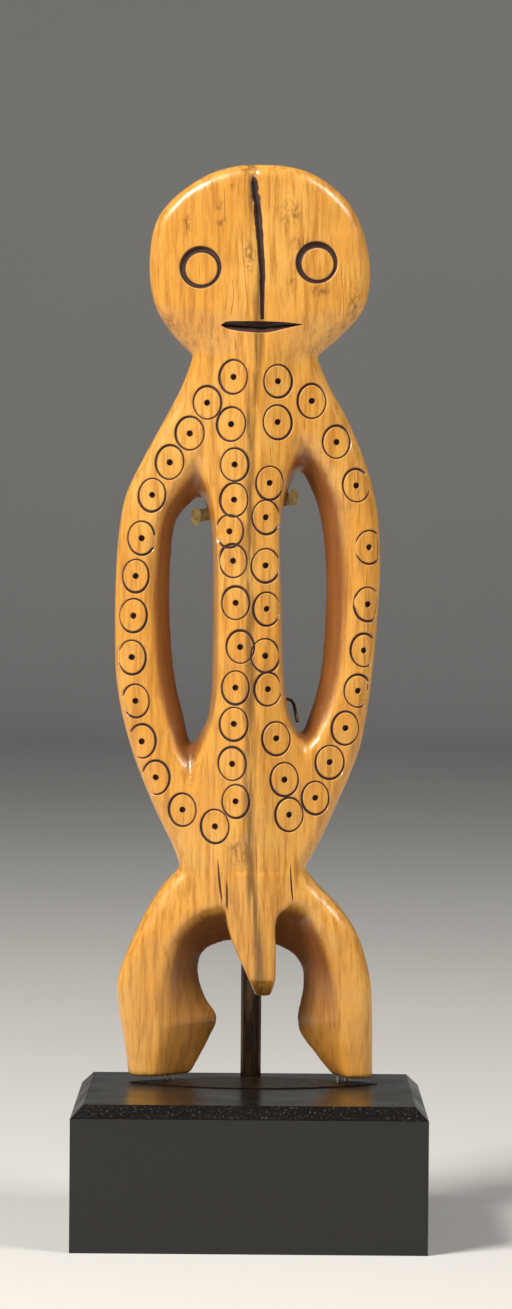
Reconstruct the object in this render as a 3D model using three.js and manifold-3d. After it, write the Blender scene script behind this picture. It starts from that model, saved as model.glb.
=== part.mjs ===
// Bone figurine with ring-and-dot carving, held by a rod and two clips on a lacquered block.
// Millimetres, +Z up, and the figure looks along -Y. The origin is the middle of the block's underside.
// In every outline below a point is [x, height above the soles], seen from the front.
import * as THREE from "three";
import { mergeVertices } from "three/addons/utils/BufferGeometryUtils.js";
import Module from "manifold-3d";

const wasm = await Module();
wasm.setup();

// Driving dimensions of the figure
const SOLE_Z = 26.1;
const RIDGE_Y = 3.2;
const BACK_Y = 14.4;
const CROWN_Z = 160.9;
const NECK_Z = 127.5;
const WAIST_Z = 37;
const CHIN_BLEND = 9;
const LEG_BLEND = 13;
const EDGE_ROUND_FRONT = 2.4;
const EDGE_ROUND_BACK = 1.6;

// How far the front falls back beside the middle ridge: near slope, then far slope beyond RIDGE_REACH
const RIDGE_REACH = 8;
const BODY_SLOPES = [0.3, 0.22];
const HEAD_SLOPES = [0.06, 0.14];
const LEG_SLOPES = [0.2, 0.15];
const GROOVE = { halfWidth: 1.1, depth: 0.5 };

// Outer edges of the head from crown to neck, of the body from neck to waist, and of the legs below
const HEAD_LEFT = [
  [-1, 160.9], [-3.9, 160.6], [-8.5, 159.2], [-14.8, 154.9], [-17.8, 150.6],
  [-18.8, 142.2], [-17.6, 135.8], [-15, 131.6], [-11, 127.5],
];
const HEAD_RIGHT = [
  [2.5, 160.9], [5.8, 160.6], [10.1, 159.3], [15.7, 155.1], [18.6, 150],
  [20.1, 142.5], [19.1, 136.1], [15.8, 131.9], [10.8, 127.5],
];
const BODY_LEFT = [
  [-11, 127.5], [-12.8, 122.5], [-15.7, 116.8], [-20.3, 108.3], [-22.9, 102.5], [-24.2, 94],
  [-24.6, 78], [-24, 68], [-21.3, 57.3], [-17, 46.8], [-13.8, 40.4], [-12.6, 37],
];
const BODY_RIGHT = [
  [10.8, 127.5], [12.9, 122.6], [16.1, 117], [19.7, 108.6], [21.7, 101], [22.4, 92],
  [22, 81], [20.8, 68.5], [18.9, 58], [14.4, 47], [11.4, 40.6], [9.3, 37],
];
const LEG_LEFT = [
  [-12.6, 37], [-15.5, 34], [-18.3, 29.7], [-22.3, 21.2],
  [-23.7, 16.5], [-23.4, 12], [-22.4, 6.2], [-21.5, 0],
];
const LEG_RIGHT = [
  [9.3, 37], [11.6, 34.2], [15.7, 30], [18.6, 25.7], [20.2, 21.5], [21.3, 16.5], [21.6, 11], [21.7, 0],
];
// The middle line, which wanders a little from the crown to the tip of the tab
const MIDDLE = [
  [-0.6, 160.5], [0.3, 150.3], [1.1, 140.3], [1.1, 130.3], [0.4, 122.8], [-0.2, 115.3], [-0.2, 100.3],
  [0.2, 66.3], [0.2, 44.3], [0.6, 34.3], [1.6, 27.3], [2.2, 16.3], [2.2, 0.3],
];

// The openings, each a funnel from its outline on the front face to a narrower one deep inside.
// Where a bulge is given, the walls between them swell, the more the smaller it is.
const THROAT_Y = 11.8;
const BACK_FLARE = 0.8;
const SWELL_DEPTH = 0.35;
const CLEAR = 6;
const LEFT_GAP = {
  front: [
    [-9.8, 110.7], [-13.1, 106.3], [-16.9, 100.9], [-18.8, 91.3], [-18.8, 78.8], [-17.4, 67.1],
    [-14.5, 58], [-10.6, 50.5], [-8.6, 57.5], [-6.6, 64.5], [-6, 82.3], [-6.9, 100],
  ],
  throat: [
    [-9.6, 102.5], [-12.1, 100.7], [-13.9, 97.9], [-14.8, 90.3], [-14.7, 79.3], [-13.8, 70.3],
    [-12.3, 63.9], [-10.8, 58.9], [-9.2, 61.1], [-7.9, 64.3], [-7.3, 82.3], [-7.9, 98.3],
  ],
  bulge: 0.85,
};
const RIGHT_GAP = {
  front: [
    [7.6, 114.7], [12.3, 110.9], [16.3, 104.7], [18.9, 93.3], [18.7, 80.3], [17.4, 70.6],
    [14.4, 63.1], [9.4, 56.7], [7.4, 60.1], [5.5, 64.7], [4.5, 84.3], [4.7, 102.9],
  ],
  throat: [
    [7.9, 107.1], [10, 104.1], [11.6, 99.3], [12.7, 90.3], [12.6, 79.8], [11.8, 70.8],
    [10.2, 64.7], [8.6, 61.1], [7.2, 62.7], [5.9, 67.3], [5, 84.3], [5, 100.3],
  ],
  bulge: 0.6,
};
const LEG_ARCH = {
  front: [
    [-16.8, -4], [-16.6, 1.5], [-16.3, 6.5], [-16.1, 10.1], [-15.9, 14.3], [-15.2, 19.5], [-13.6, 24.9],
    [-9.6, 29.2], [-3.5, 30.8], [2.5, 31.5], [7, 31.3], [10.6, 30.3], [13.2, 26.1], [15, 20.8],
    [16.2, 15.8], [16.7, 11.3], [16.8, 6.3], [16.8, 1.8], [17, -4],
  ],
  throat: [
    [-12.6, -4], [-9.8, 1.5], [-7.2, 6.5], [-5.9, 10.1], [-8.1, 13.9], [-9.3, 18.1], [-8.6, 21.6],
    [-6, 23.2], [-2, 23.9], [2, 23.7], [5, 22.8], [7.6, 21.3], [9.1, 18.9], [9.3, 15.9],
    [8.8, 13.1], [8.3, 10.3], [8.9, 7.3], [11.6, 3.7], [16.4, -4],
  ],
};

// The tab between the legs
const TAB_LEFT = [[-4.3, 36.3], [-4.2, 26.9], [-0.2, 17.3], [0.9, 14.6]];
const TAB_RIGHT = [[7.5, 36.3], [7.3, 31.3], [4.6, 28.5], [4.4, 22.3], [4.3, 17.3], [3.5, 14.6]];
const TAB = { thickness: 4.4, proud: 0.2, slope: 0.3, edge: 0.6, endHeight: 17.5, endCutBack: 2.2 };
const TAB_HEIGHTS = [36.3, 33.3, 30.3, 28.5, 26.9, 22.3, 17.5, 14.6];

// The carved marks
const DOT_RING = { across: 4.95, tall: 5.9, lineWidth: 0.36, depth: 0.3, pitRadius: 0.6, pitDepth: 0.7 };
const LEFT_COLUMN = [
  [-3.9, 123.6], [-4.2, 115.3], [-3.55, 108.2], [-3.6, 102], [-4.4, 96.5], [-3.7, 91.3], [-3.2, 83.9],
  [-2.3, 76.2], [-3.1, 69], [-3.35, 62.6], [-3.6, 55.6], [-2.9, 49], [-6.55, 44.5],
];
const LEFT_ARM_RINGS = [
  [-8.45, 119.1], [-11.5, 113.7], [-15, 108.6], [-18.1, 102.8], [-19.9, 95.2], [-20.9, 88.5],
  [-21.3, 81.5], [-21.5, 74.1], [-20.8, 66.4], [-19.6, 59.3], [-17.1, 52.9], [-12.3, 47.3],
];
const RIGHT_COLUMN = [
  [4, 122.9], [4, 115.7], [2.7, 105], [2.1, 99], [2.1, 90.5], [2.35, 82.9], [2.15, 74.7],
  [2.65, 68.8], [4.2, 60.1], [5.7, 52.9], [6.6, 46.7],
];
const RIGHT_ARM_RINGS = [
  [10, 119.5], [14.4, 112.4], [18, 104.8], [20.4, 93.9], [20.2, 83.8], [19.6, 75.7], [18.6, 68.5],
  [16.4, 61.9], [13.7, 55.9], [11.2, 49.6],
];
const EYES = [[-9.7, 142.4], [10.6, 143.4]];
const EYE = { radius: 3.35, lineWidth: 0.9, depth: 0.75 };
const MOUTH = { left: -5.9, right: 7.6, z: 132, halfHeight: 1.05, depth: 1.5, start: 2, pointed: 0.5 };
const MOUTH_FLOOR = { length: 0.9, height: 0.3, lift: 0.4 };
const CROWN_GROOVE = {
  path: [[-0.7, 158.7], [0.2, 152.3], [1, 142.3], [1.15, 133.3]],
  widths: [1.7, 1.5, 1.1, 0.9],
  depth: 0.7,
};
const CREASES = [
  [[-6, 38.7], [-5.6, 34.3], [-5.1, 30.9]],
  [[-4.35, 34.9], [-4.3, 32.1], [-4.3, 29.3]],
  [[6.9, 37.9], [7.1, 34.3], [7.4, 31.3]],
];
const CREASE = { width: 0.45, depth: 0.4 };

// How finely round things are cut into flats
const ROWS = { head: 12, body: 13, legs: 7 };
const EDGE_STEPS = [0, 0.3, 1];
const EDGE_SHARE = 0.4;
const KINK_SHARE = 0.5;
const LIP_SHARE = 0.2;
const CURVE_STEPS = 10;
const OUTLINE_STEPS = 2;
const SIDES = { ring: 10, pit: 4, eye: 14, mouth: 10, rod: 14, pin: 8, plate: 8, wire: 4 };

// The mount, with heights on the rod counted from the soles
const BLOCK = { width: 60.8, length: 48.8, height: 25, chamfer: 2.2 };
const CONTACT_GAP = 0.05;
const ROD = { x: 0.1, y: 17.5, radius: 1.87, top: 103.9 };
const CLIP = { y: 14.7, thickness: 0.7, height: 2.2, left: [-10.3, 99.1], right: [6.9, 102.7] };
const PRONG = { width: 1.3, reachLeft: 10.2, reachRight: 9.4, tabWidth: 1.8, tabHeight: 3.3 };
const WIRE_RADIUS = 0.3;
const WIRE_STEPS = 8;
const WIRE_ROUTE = [
  [1.6, 15.4, 66.9], [4.4, 15.3, 66.9], [6.9, 14.6, 66.5], [7.5, 12.6, 64.9], [7.9, 11.2, 62.9],
];
const PLATE = { left: -21.4, right: 22.6, y: 7.5, halfWidth: 7.9, thickness: 0.15 };
const PIN = { radius: 0.42, y: 10.3 };
const PINS = { left_outer: -14.9, left_inner: -13.7, right_inner: 15.7, right_outer: 17 };

const BONE = { color: 0xc98a3c, roughness: 0.38, metalness: 0 };
const LACQUER = { color: 0x0b0908, roughness: 0.22, metalness: 0 };
const DARK_BRONZE = { color: 0x2a211a, roughness: 0.35, metalness: 0.9 };
const BRASS = { color: 0xb08d4a, roughness: 0.35, metalness: 1 };
const STEEL = { color: 0xc8c4bc, roughness: 0.25, metalness: 1 };

// Solids

// A closed geometry as a manifold solid, with shared corners merged.
function solidOf(geometry) {
  const bare = geometry.clone();
  bare.deleteAttribute("normal");
  bare.deleteAttribute("uv");
  const merged = mergeVertices(bare, 1e-4);
  const mesh = new wasm.Mesh({
    numProp: 3,
    vertProperties: merged.attributes.position.array,
    triVerts: new Uint32Array(merged.index.array),
  });
  return new wasm.Manifold(mesh);
}

function meshOf(solid, name, look) {
  const { vertProperties, triVerts } = solid.getMesh();
  const geometry = new THREE.BufferGeometry()
    .setAttribute("position", new THREE.BufferAttribute(vertProperties, 3))
    .setIndex(new THREE.BufferAttribute(triVerts, 1));
  geometry.computeVertexNormals();
  const mesh = new THREE.Mesh(geometry, new THREE.MeshStandardMaterial(look));
  mesh.name = name;
  return mesh;
}

// Six times the volume that the triangles enclose, negative when they face inwards.
function enclosed(points, triangles) {
  let sum = 0;
  for (const [a, b, c] of triangles) {
    sum += points[a].dot(points[b].clone().cross(points[c]));
  }
  return sum;
}

// Crossing cuts leave crumbs between them, which fall away.
function largestBody(solid) {
  return solid.decompose().reduce((a, b) => (a.volume() > b.volume() ? a : b));
}

// The triangles that fill a loop seen along the third axis, wound as the loop is.
function fill(loop, u, v) {
  const outline = loop.map((p) => new THREE.Vector2(p[u], p[v]));
  const faces = THREE.ShapeUtils.triangulateShape(outline, []);
  const first = faces[0].map((i) => outline[i]);
  const agrees = THREE.ShapeUtils.isClockWise(outline) === THREE.ShapeUtils.isClockWise(first);
  return agrees ? faces : faces.map((face) => [...face].reverse());
}

// A skin through loops of equal length. It is capped at both ends, or joined end to start.
// capAxes names the two coordinates in which the end loops are seen flat.
function skin(loops, { joined = false, capAxes = ["x", "z"] } = {}) {
  const count = loops[0].length;
  const points = loops.flat();
  const triangles = [];
  const spans = joined ? loops.length : loops.length - 1;
  for (let level = 0; level < spans; level++) {
    const here = level * count;
    const next = ((level + 1) % loops.length) * count;
    for (let i = 0; i < count; i++) {
      const j = (i + 1) % count;
      triangles.push([here + i, here + j, next + j], [here + i, next + j, next + i]);
    }
  }
  if (!joined) {
    const end = (loops.length - 1) * count;
    for (const [a, b, c] of fill(loops[0], ...capAxes)) triangles.push([c, b, a]);
    for (const [a, b, c] of fill(loops.at(-1), ...capAxes)) triangles.push([end + a, end + b, end + c]);
  }
  if (enclosed(points, triangles) < 0) triangles.forEach((triangle) => triangle.reverse());
  return new THREE.BufferGeometry()
    .setAttribute("position", new THREE.Float32BufferAttribute(points.flatMap((p) => p.toArray()), 3))
    .setIndex(triangles.flat());
}

// The figure's form

// The x of a line of [x, height] points at any height, on a smooth curve through them.
function lineThrough(points) {
  const corners = points.map(([x, z]) => new THREE.Vector2(x, z));
  const samples = new THREE.SplineCurve(corners).getPoints(points.length * CURVE_STEPS);
  return (z) => {
    const below = samples.findIndex((sample, i) => i > 0 && sample.y <= z);
    if (below < 0) return samples.at(-1).x;
    const [upper, lower] = [samples[below - 1], samples[below]];
    const share = THREE.MathUtils.clamp((upper.y - z) / (upper.y - lower.y), 0, 1);
    return THREE.MathUtils.lerp(upper.x, lower.x, share);
  };
}

// One side of the outline, with sharp notches at the neck and the waist.
function edgeThrough(head, body, leg) {
  const [headAt, bodyAt, legAt] = [head, body, leg].map(lineThrough);
  return (z) => {
    if (z < WAIST_Z) return legAt(z);
    return z < NECK_Z ? bodyAt(z) : headAt(z);
  };
}

const middleAt = lineThrough(MIDDLE);
const leftEdge = edgeThrough(HEAD_LEFT, BODY_LEFT, LEG_LEFT);
const rightEdge = edgeThrough(HEAD_RIGHT, BODY_RIGHT, LEG_RIGHT);

function evenly(from, to, steps) {
  return Array.from({ length: steps + 1 }, (_, i) => from + ((to - from) * i) / steps);
}

// The heights of the sections, from the crown down to the soles, closer where the head turns fast.
const headMiddle = (CROWN_Z + NECK_Z) / 2;
const headHalf = (CROWN_Z - NECK_Z) / 2;
const heights = [
  ...evenly(0, Math.PI, ROWS.head).map((angle) => headMiddle + headHalf * Math.cos(angle)),
  ...evenly(NECK_Z, WAIST_Z, ROWS.body).slice(1),
  ...evenly(WAIST_Z, 0, ROWS.legs).slice(1),
];
const rim = [
  ...heights.map((z) => new THREE.Vector2(leftEdge(z), z)).reverse(),
  ...heights.map((z) => new THREE.Vector2(rightEdge(z), z)),
];

// How far a point of the face lies from the outer edge.
function fromRim(x, z) {
  let nearest = Infinity;
  for (let i = 1; i < rim.length; i++) {
    const [a, b] = [rim[i - 1], rim[i]];
    const [dx, dz] = [b.x - a.x, b.y - a.y];
    const t = THREE.MathUtils.clamp(((x - a.x) * dx + (z - a.y) * dz) / (dx * dx + dz * dz), 0, 1);
    nearest = Math.min(nearest, Math.hypot(x - a.x - t * dx, z - a.y - t * dz));
  }
  return x > leftEdge(z) && x < rightEdge(z) ? nearest : 0;
}

// How far a quarter-round edge falls back at a distance from the rim.
function roundOver(distance, radius) {
  const t = Math.max(0, radius - distance);
  return radius - Math.sqrt(radius * radius - t * t);
}

// The roof that falls back on both sides of the middle line, with the groove along its ridge.
function roofY(x, z) {
  const headShare = THREE.MathUtils.smoothstep(z, NECK_Z - 2, NECK_Z + CHIN_BLEND);
  const legShare = 1 - THREE.MathUtils.smoothstep(z, WAIST_Z - LEG_BLEND, WAIST_Z);
  const slope = (i) => {
    const upper = THREE.MathUtils.lerp(BODY_SLOPES[i], HEAD_SLOPES[i], headShare);
    return THREE.MathUtils.lerp(upper, LEG_SLOPES[i], legShare);
  };
  const beside = Math.abs(x - middleAt(z));
  const fall = slope(0) * Math.min(beside, RIDGE_REACH) + slope(1) * Math.max(0, beside - RIDGE_REACH);
  const groove = GROOVE.depth * Math.max(0, 1 - beside / GROOVE.halfWidth);
  return RIDGE_Y + fall + groove;
}

function frontY(x, z) {
  return roofY(x, z) + roundOver(fromRim(x, z), EDGE_ROUND_FRONT);
}

function backY(x, z) {
  return BACK_Y - roundOver(fromRim(x, z), EDGE_ROUND_BACK);
}

// The x of the corners over one rounded edge, from the rim inwards.
function edgeCorners(edge, middle, radius) {
  const round = Math.min(radius, Math.abs(middle - edge) * EDGE_SHARE);
  return EDGE_STEPS.map((step) => edge + Math.sign(middle - edge) * step * round);
}

// The same for one half of the front, followed by the kink of the roof and the lip of the groove.
function frontCorners(edge, middle) {
  const span = Math.abs(middle - edge);
  const inward = Math.sign(middle - edge);
  const kink = middle - inward * Math.min(RIDGE_REACH, span * KINK_SHARE);
  const lip = middle - inward * Math.min(GROOVE.halfWidth, span * LIP_SHARE);
  return [...edgeCorners(edge, middle, EDGE_ROUND_FRONT), kink, lip];
}

// One level section, from the left edge over the front to the right edge, and back behind.
function sectionAt(z) {
  const [left, right, middle] = [leftEdge(z), rightEdge(z), middleAt(z)];
  const front = [...frontCorners(left, middle), middle, ...frontCorners(right, middle).reverse()];
  const back = [
    ...edgeCorners(right, middle, EDGE_ROUND_BACK),
    ...edgeCorners(left, middle, EDGE_ROUND_BACK).reverse(),
  ];
  return [
    ...front.map((x) => new THREE.Vector3(x, frontY(x, z), z)),
    ...back.map((x) => new THREE.Vector3(x, backY(x, z), z)),
  ];
}

// Cutters

// A smooth closed outline through its points, as many per point as asked.
function closedOutline(points) {
  const curve = new THREE.CatmullRomCurve3(points.map(([x, z]) => new THREE.Vector3(x, 0, z)), true);
  const count = points.length * OUTLINE_STEPS;
  return Array.from({ length: count }, (_, i) => curve.getPoint(i / count));
}

// The same outline moved outwards by a distance.
function widened(loop, distance) {
  const clockwise = THREE.ShapeUtils.isClockWise(loop.map((p) => new THREE.Vector2(p.x, p.z)));
  return loop.map((p, i) => {
    const before = loop.at(i - 1);
    const after = loop[(i + 1) % loop.length];
    const along = after.clone().sub(before).normalize().multiplyScalar(clockwise ? distance : -distance);
    return new THREE.Vector3(p.x - along.z, p.y, p.z + along.x);
  });
}

// A funnel that runs through the slab, wide at the front face and narrow at its throat.
function funnel({ front, throat, bulge }) {
  const mouth = closedOutline(front).map((p) => new THREE.Vector3(p.x, roofY(p.x, p.z), p.z));
  const neck = closedOutline(throat).map((p) => new THREE.Vector3(p.x, THROAT_Y, p.z));
  const swell = mouth.map((p, i) => {
    const point = p.clone().lerp(neck[i], SWELL_DEPTH ** bulge);
    point.y = THREE.MathUtils.lerp(p.y, THROAT_Y, SWELL_DEPTH);
    return point;
  });
  const at = (loop, y) => loop.map((p) => new THREE.Vector3(p.x, y, p.z));
  return skin([
    at(mouth, RIDGE_Y - CLEAR),
    mouth,
    ...(bulge ? [swell] : []),
    neck,
    at(widened(neck, BACK_FLARE), BACK_Y),
    at(widened(neck, BACK_FLARE), BACK_Y + CLEAR),
  ]);
}

// A V cut that follows the front face along a path of [x, height] points.
function groove(path, widths, depth, joined = false) {
  const loops = path.map(([x, z], i) => {
    const before = path[joined ? (i + path.length - 1) % path.length : Math.max(0, i - 1)];
    const after = path[joined ? (i + 1) % path.length : Math.min(path.length - 1, i + 1)];
    const side = new THREE.Vector2(before[1] - after[1], after[0] - before[0]).setLength(widths[i]);
    return [
      new THREE.Vector3(x - side.x, frontY(x - side.x, z - side.y) - depth, z - side.y),
      new THREE.Vector3(x + side.x, frontY(x + side.x, z + side.y) - depth, z + side.y),
      new THREE.Vector3(x, frontY(x, z) + depth, z),
    ];
  });
  return solidOf(skin(loops, { joined, capAxes: ["x", "y"] }));
}

function ringPath(x, z, across, tall, sides) {
  return Array.from({ length: sides }, (_, i) => {
    const angle = (2 * Math.PI * i) / sides;
    return [x + (across / 2) * Math.cos(angle), z + (tall / 2) * Math.sin(angle)];
  });
}

function dotRing([x, z]) {
  const { across, tall, lineWidth, depth, pitRadius, pitDepth } = DOT_RING;
  const path = ringPath(x, z, across, tall, SIDES.ring);
  const ring = groove(path, path.map(() => lineWidth), depth, true);
  const pit = new THREE.ConeGeometry(2 * pitRadius, 2 * pitDepth, SIDES.pit).translate(x, frontY(x, z), z);
  return ring.add(solidOf(pit));
}

function eye([x, z]) {
  const across = 2 * EYE.radius + EYE.lineWidth;
  const path = ringPath(x, z, across, across, SIDES.eye);
  return groove(path, path.map(() => EYE.lineWidth), EYE.depth, true);
}

// The mouth is a leaf-shaped slit with a steep upper wall and a sloping lower lip.
function mouth() {
  const middle = (MOUTH.left + MOUTH.right) / 2;
  const half = (MOUTH.right - MOUTH.left) / 2;
  const tall = MOUTH.halfHeight;
  const leaf = (y, length, height, lift) =>
    Array.from({ length: SIDES.mouth }, (_, i) => {
      const angle = (2 * Math.PI * i) / SIDES.mouth;
      const rise = height * Math.sin(angle) * Math.abs(Math.sin(angle)) ** MOUTH.pointed;
      return new THREE.Vector3(middle + length * Math.cos(angle), y, MOUTH.z + lift + rise);
    });
  const face = frontY(middle + half / 2, MOUTH.z);
  return skin([
    leaf(face - MOUTH.start, half, tall, 0),
    leaf(face, half, tall, 0),
    leaf(face + MOUTH.depth, half * MOUTH_FLOOR.length, tall * MOUTH_FLOOR.height, tall * MOUTH_FLOOR.lift),
  ]);
}

// The tab carries the ridge and its groove on past the crotch, and ends in a facet cut back below.
function tab() {
  const [leftAt, rightAt] = [lineThrough(TAB_LEFT), lineThrough(TAB_RIGHT)];
  return skin(
    TAB_HEIGHTS.map((z) => {
      const [left, right, middle] = [leftAt(z), rightAt(z), middleAt(z)];
      const cut = (TAB.endCutBack * Math.max(0, TAB.endHeight - z)) / (TAB.endHeight - TAB_HEIGHTS.at(-1));
      const top = (x) => RIDGE_Y - TAB.proud + TAB.slope * Math.abs(x - middle) + cut;
      return [
        new THREE.Vector3(left, top(left) + TAB.edge, z),
        new THREE.Vector3(left + TAB.edge, top(left), z),
        new THREE.Vector3(middle, top(middle) + GROOVE.depth, z),
        new THREE.Vector3(right - TAB.edge, top(right), z),
        new THREE.Vector3(right, top(right) + TAB.edge, z),
        new THREE.Vector3(right, RIDGE_Y + TAB.thickness, z),
        new THREE.Vector3(left, RIDGE_Y + TAB.thickness, z),
      ];
    }),
    { capAxes: ["x", "y"] },
  );
}

function figurine() {
  let bone = solidOf(skin(heights.map(sectionAt), { capAxes: ["x", "y"] }));
  for (const opening of [LEFT_GAP, RIGHT_GAP, LEG_ARCH]) bone = bone.subtract(solidOf(funnel(opening)));
  bone = bone.add(solidOf(tab()));
  for (const rings of [LEFT_COLUMN, LEFT_ARM_RINGS, RIGHT_COLUMN, RIGHT_ARM_RINGS]) {
    for (const place of rings) bone = bone.subtract(dotRing(place));
  }
  for (const place of EYES) bone = bone.subtract(eye(place));
  for (const path of CREASES) bone = bone.subtract(groove(path, path.map(() => CREASE.width), CREASE.depth));
  bone = bone.subtract(groove(CROWN_GROOVE.path, CROWN_GROOVE.widths, CROWN_GROOVE.depth));
  bone = bone.subtract(solidOf(mouth()));
  return largestBody(bone);
}

// The mount

function block() {
  const { width, length, height, chamfer } = BLOCK;
  const rectangle = (inset, z) => {
    const [x, y] = [width / 2 - inset, length / 2 - inset];
    return [[-x, -y], [x, -y], [x, y], [-x, y]].map(([u, v]) => new THREE.Vector3(u, v, z));
  };
  const loops = [rectangle(0, 0), rectangle(0, height - chamfer), rectangle(chamfer, height)];
  return solidOf(skin(loops, { capAxes: ["x", "y"] }));
}

function rod() {
  const foot = BLOCK.height + CONTACT_GAP;
  const length = SOLE_Z + ROD.top - foot;
  const post = new THREE.CylinderGeometry(ROD.radius, ROD.radius, length, SIDES.rod).rotateX(Math.PI / 2);
  return solidOf(post.translate(ROD.x, ROD.y, foot + length / 2));
}

// A flat strip behind the torso, with a prong forward through each gap that ends in a small upright tongue.
function upperClip() {
  const [[leftX, leftZ], [rightX, rightZ]] = [CLIP.left, CLIP.right];
  const half = CLIP.height / 2;
  const bar = new THREE.Shape([
    new THREE.Vector2(leftX - PRONG.width / 2, leftZ - half),
    new THREE.Vector2(rightX + PRONG.width / 2, rightZ - half),
    new THREE.Vector2(rightX + PRONG.width / 2, rightZ + half),
    new THREE.Vector2(leftX - PRONG.width / 2, leftZ + half),
  ]);
  const strip = new THREE.ExtrudeGeometry(bar, { depth: CLIP.thickness, bevelEnabled: false });
  strip.rotateX(Math.PI / 2).translate(0, CLIP.y + CLIP.thickness, 0);
  const prong = (x, z, reach) => {
    const depth = CLIP.y + CLIP.thickness / 2 - reach;
    const arm = new THREE.BoxGeometry(PRONG.width, depth, CLIP.height).translate(x, reach + depth / 2, z);
    const half = PRONG.tabWidth / 2;
    const tongue = new THREE.CylinderGeometry(half, half, CLIP.thickness, SIDES.rod);
    tongue.scale(1, 1, PRONG.tabHeight / PRONG.tabWidth).translate(x, reach, z);
    return solidOf(arm).add(solidOf(tongue));
  };
  const left = prong(leftX, leftZ, PRONG.reachLeft);
  const right = prong(rightX, rightZ, PRONG.reachRight);
  return solidOf(strip).add(left).add(right).translate(0, 0, SOLE_Z);
}

function lowerProng() {
  const extrudePath = new THREE.CatmullRomCurve3(WIRE_ROUTE.map(([x, y, z]) => new THREE.Vector3(x, y, z)));
  const circle = new THREE.Shape().absarc(0, 0, WIRE_RADIUS, 0, 2 * Math.PI);
  const settings = { steps: WIRE_STEPS, curveSegments: SIDES.wire, extrudePath };
  return solidOf(new THREE.ExtrudeGeometry(circle, settings).translate(0, 0, SOLE_Z));
}

function footPlate() {
  const middle = (PLATE.left + PLATE.right) / 2;
  const leaf = new THREE.Shape();
  leaf.moveTo(PLATE.left, PLATE.y);
  leaf.quadraticCurveTo(middle, PLATE.y - 2 * PLATE.halfWidth, PLATE.right, PLATE.y);
  leaf.quadraticCurveTo(middle, PLATE.y + 2 * PLATE.halfWidth, PLATE.left, PLATE.y);
  const settings = { depth: PLATE.thickness, bevelEnabled: false, curveSegments: SIDES.plate };
  const plate = new THREE.ExtrudeGeometry(leaf, settings);
  return solidOf(plate.translate(0, 0, BLOCK.height + CONTACT_GAP));
}

function footPin(x) {
  const foot = BLOCK.height + 2 * CONTACT_GAP + PLATE.thickness;
  const length = SOLE_Z - CONTACT_GAP - foot;
  const pin = new THREE.CylinderGeometry(PIN.radius, PIN.radius, length, SIDES.pin).rotateX(Math.PI / 2);
  return solidOf(pin.translate(x, PIN.y, foot + length / 2));
}

const group = new THREE.Group();
const figure = meshOf(figurine(), "figurine", BONE);
figure.position.z = SOLE_Z;
group.add(figure);
group.add(meshOf(block(), "base_block", LACQUER));
group.add(meshOf(rod(), "support_rod", DARK_BRONZE));
group.add(meshOf(upperClip(), "upper_clip", BRASS));
group.add(meshOf(lowerProng(), "lower_prong", DARK_BRONZE));
group.add(meshOf(footPlate(), "foot_plate", DARK_BRONZE));
for (const [place, x] of Object.entries(PINS)) group.add(meshOf(footPin(x), `foot_pin_${place}`, STEEL));

export default group;
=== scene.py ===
"""Carved bone figurine on its rod mount and lacquered block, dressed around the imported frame.

Everything is in metres. The figure's own heights are measured from its soles, and it looks along -Y.
The figure is a field of signed distances, made into a mesh, and its fine marks are cut afterwards.
"""
import math

import bmesh
import bpy
import numpy as np
from mathutils import Matrix, Vector
from mathutils.bvhtree import BVHTree


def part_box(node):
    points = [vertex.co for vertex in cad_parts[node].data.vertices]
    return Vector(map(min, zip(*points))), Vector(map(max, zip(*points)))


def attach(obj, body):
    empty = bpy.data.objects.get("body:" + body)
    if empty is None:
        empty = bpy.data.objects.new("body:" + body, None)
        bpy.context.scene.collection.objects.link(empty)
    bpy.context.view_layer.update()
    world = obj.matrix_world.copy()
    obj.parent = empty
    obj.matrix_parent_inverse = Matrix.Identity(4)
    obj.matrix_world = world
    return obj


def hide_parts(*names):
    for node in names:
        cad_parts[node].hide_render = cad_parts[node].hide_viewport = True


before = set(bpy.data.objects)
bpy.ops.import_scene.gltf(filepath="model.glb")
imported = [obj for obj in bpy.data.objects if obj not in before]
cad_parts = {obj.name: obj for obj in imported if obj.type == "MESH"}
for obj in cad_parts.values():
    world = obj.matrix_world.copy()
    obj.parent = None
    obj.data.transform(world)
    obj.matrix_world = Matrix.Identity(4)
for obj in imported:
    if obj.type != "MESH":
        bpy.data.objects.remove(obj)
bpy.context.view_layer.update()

MM = 0.001
figure_low, figure_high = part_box("figurine")
block_low, block_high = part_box("base_block")
rod_low, rod_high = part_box("support_rod")
plate_low, plate_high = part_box("foot_plate")
SOLE_Z = figure_low.z
BACK_Y = figure_high.y
RIDGE_Y = 3.2 * MM


def millimetres(points):
    return np.array(points, float) * MM


# Outer edges of the head, the body and the legs, [x, height], and the middle line that the ridge follows
CROWN_Z = 160.9 * MM
NECK_Z = 127.5 * MM
WAIST_Z = 37 * MM
HEAD_LEFT = millimetres([
    [-1, 160.9], [-3.9, 160.6], [-8.5, 159.2], [-14.8, 154.9], [-17.8, 150.6],
    [-18.8, 142.2], [-17.6, 135.8], [-15, 131.6], [-11, 127.5],
])
HEAD_RIGHT = millimetres([
    [2.5, 160.9], [5.8, 160.6], [10.1, 159.3], [15.7, 155.1], [18.6, 150],
    [20.1, 142.5], [19.1, 136.1], [15.8, 131.9], [10.8, 127.5],
])
BODY_LEFT = millimetres([
    [-11, 127.5], [-12.8, 122.5], [-15.7, 116.8], [-20.3, 108.3], [-22.9, 102.5], [-24.2, 94],
    [-24.6, 78], [-24, 68], [-21.3, 57.3], [-17, 46.8], [-13.8, 40.4], [-12.6, 37],
])
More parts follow.
